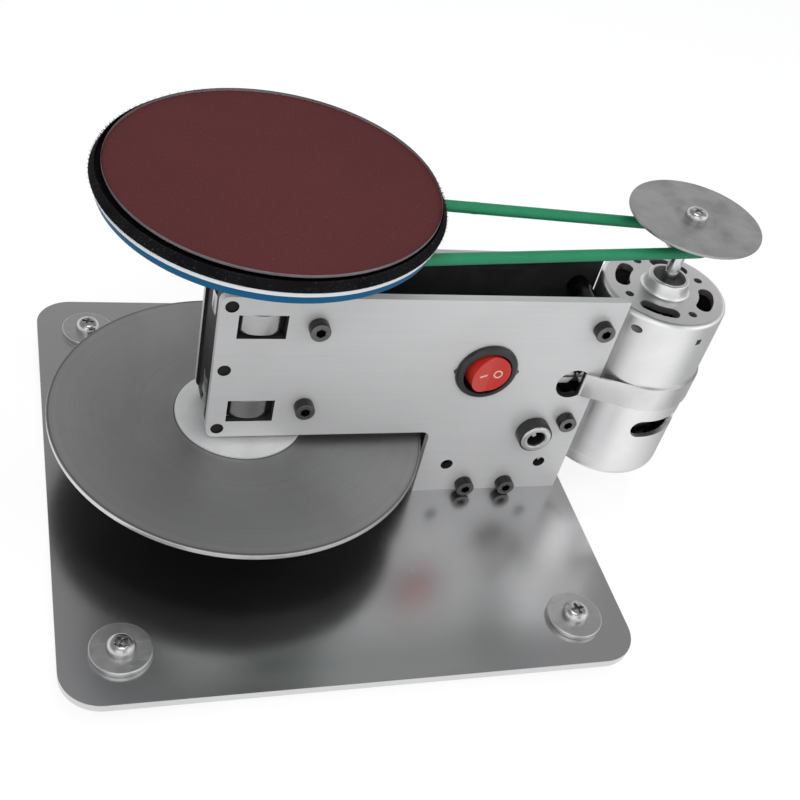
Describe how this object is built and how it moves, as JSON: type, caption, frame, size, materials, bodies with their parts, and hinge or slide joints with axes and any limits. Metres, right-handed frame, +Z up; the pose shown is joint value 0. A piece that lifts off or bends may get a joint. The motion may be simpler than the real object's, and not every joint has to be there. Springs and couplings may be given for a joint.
{
  "type": "benchtop disc sander",
  "caption": "Small open-frame benchtop disc sander: a belt-driven upright spindle with a hook-and-loop sanding pad on top and a steel disc below.",
  "frame": {"origin": "middle of the whole footprint, on the bench under the rubber feet", "axes": "+X along the side plates from the sanding spindle to the motor, +Z up, +Y away from the side with the switch"},
  "size_m": [0.241, 0.202, 0.137],
  "materials": {
    "base_steel": "brushed and polished sheet steel",
    "plate_alloy": "satin sheet aluminium with cut edges",
    "bright_steel": "bright zinc plate",
    "black_steel": "black oxide",
    "bearing_steel": "ground bearing steel",
    "turned_alloy": "turned aluminium",
    "disc_steel": "dull rolled steel",
    "rubber_black": "matte rubber",
    "backing_blue": "moulded plastic",
    "foam_white": "closed-cell foam",
    "hook_black": "hook-and-loop nap",
    "paper_maroon": "fine abrasive grain",
    "belt_green": "smooth polyurethane cord",
    "motor_steel": "satin plated steel",
    "magnet_grey": "matte ferrite and laminations",
    "copper": "copper and bronze",
    "carbon": "pressed carbon",
    "clamp_steel": "rolled stainless strip",
    "switch_black": "moulded gloss",
    "rocker_red": "moulded translucent red",
    "jack_black": "moulded black",
    "lead_red": "insulated lead",
    "lead_black": "insulated lead",
    "carrier_black": "machined black plastic"
  },
  "bodies": {
    "frame": {"base_plate": "base_steel", "rubber_feet": "rubber_black", "corner_washers": "bright_steel", "corner_screws": "bright_steel", "foot_nuts": "bright_steel", "foot_block": "black_steel", "block_screws": "black_steel", "front_plate": "plate_alloy", "rear_plate": "plate_alloy", "standoffs": "black_steel", "front_cap_screws": "black_steel", "rear_cap_screws": "black_steel", "foot_cap_screws": "black_steel", "bearing_carrier": "carrier_black", "bearing_outer_races": "bearing_steel", "bearing_balls": "bearing_steel", "bearing_shields": "bearing_steel", "drive_belt": "belt_green", "motor_can": "motor_steel", "motor_end_cap": "motor_steel", "motor_magnets": "magnet_grey", "motor_front_bush": "copper", "motor_rear_bush": "copper", "motor_brushes": "carbon", "motor_grommet": "rubber_black", "clamp_band": "clamp_steel", "clamp_housing": "clamp_steel", "clamp_worm": "clamp_steel", "switch_housing": "switch_black", "switch_terminals": "copper", "jack_body": "jack_black", "jack_nut": "bright_steel", "jack_pin": "bright_steel", "jack_lugs": "copper", "power_lead": "lead_red", "switch_lead": "lead_red", "return_lead": "lead_black"},
    "spindle": {"spindle_shaft": "bright_steel", "bearing_inner_races": "bearing_steel", "bearing_spacer": "bright_steel", "pulley_collar": "bright_steel", "spindle_pulley": "turned_alloy", "pulley_set_screw": "black_steel", "backing_plate": "backing_blue", "foam_layer": "foam_white", "hook_pad": "hook_black", "sanding_disc": "paper_maroon", "disc_spacer": "bright_steel", "disc_flange": "turned_alloy", "lower_disc": "disc_steel", "lower_flange": "black_steel", "spindle_nut": "black_steel"},
    "rotor": {"motor_shaft": "bright_steel", "motor_armature": "magnet_grey", "armature_windings": "copper", "commutator": "copper", "motor_pulley": "turned_alloy", "guard_disc": "disc_steel", "guard_screw": "bright_steel"},
    "rocker": {"switch_rocker": "rocker_red"}
  },
  "joints": [
    {"name": "spindle_spin", "type": "hinge", "parent": "frame", "child": "spindle", "pos_m": [-0.05355, -0.001, 0.119], "axis": [0, 0, 1], "continuous": true},
    {"name": "motor_spin", "type": "hinge", "parent": "frame", "child": "rotor", "pos_m": [0.09575, -0.001, 0.119], "axis": [0, 0, 1], "continuous": true},
    {"name": "switch_rock", "type": "hinge", "parent": "frame", "child": "rocker", "pos_m": [0.02905, -0.013, 0.0715], "axis": [0, 0, -1], "range_deg": [0, 20]}
  ],
  "couplings": [
    {"joint": "motor_spin", "follows": "spindle_spin", "ratio": 2.5062}
  ]
}
